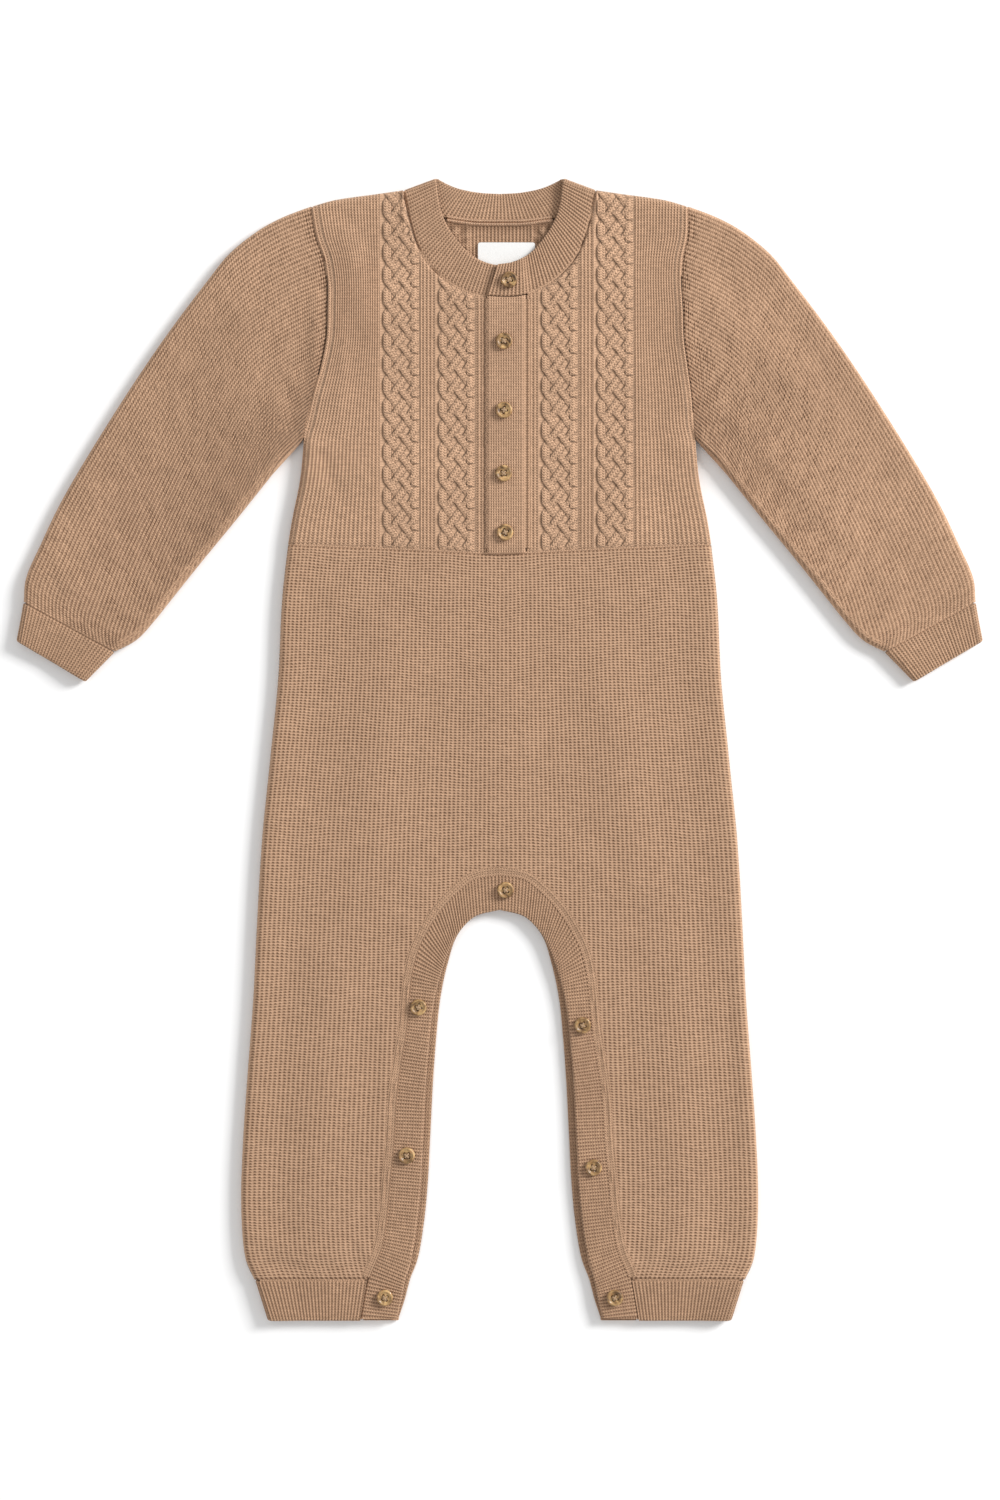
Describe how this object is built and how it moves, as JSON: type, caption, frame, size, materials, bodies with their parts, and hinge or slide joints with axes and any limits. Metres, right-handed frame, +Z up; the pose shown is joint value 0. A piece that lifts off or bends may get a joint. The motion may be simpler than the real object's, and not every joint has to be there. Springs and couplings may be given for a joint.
{
  "type": "baby romper, laid flat",
  "caption": "Long-sleeved knitted baby romper with cable yokes, ribbed bands and buttoned neck, front and legs, laid flat on its back.",
  "frame": {"origin": "under the middle of the garment's outline, on the surface that its back lies on", "axes": "+Y towards the neck, +X towards the sleeve on the right as seen from above, +Z up out of the front"},
  "size_m": [0.5318, 0.6286, 0.01],
  "materials": {
    "knit": "matte cotton knit, heathered camel",
    "rib_knit": "matte ribbed cotton knit, camel",
    "label": "plain woven satin tape",
    "button": "horn-like, satin"
  },
  "bodies": {
    "root": {"back_yoke": "knit", "back_body": "knit", "front_body": "knit", "front_yoke_left": "knit", "front_yoke_right": "knit", "sleeve_left": "knit", "sleeve_right": "knit", "sleeve_cuff_left": "rib_knit", "sleeve_cuff_right": "rib_knit", "leg_cuff_left": "rib_knit", "leg_cuff_right": "rib_knit", "neckband": "rib_knit", "placket_top": "rib_knit", "placket_under": "rib_knit", "leg_band_front": "rib_knit", "leg_band_back": "rib_knit", "neck_label": "label", "size_tag": "label", "button_neck": "button", "button_placket_1": "button", "button_placket_2": "button", "button_placket_3": "button", "button_placket_4": "button", "button_crotch": "button", "button_leg_left_1": "button", "button_leg_left_2": "button", "button_leg_left_3": "button", "button_leg_right_1": "button", "button_leg_right_2": "button", "button_leg_right_3": "button"}
  },
  "joints": []
}
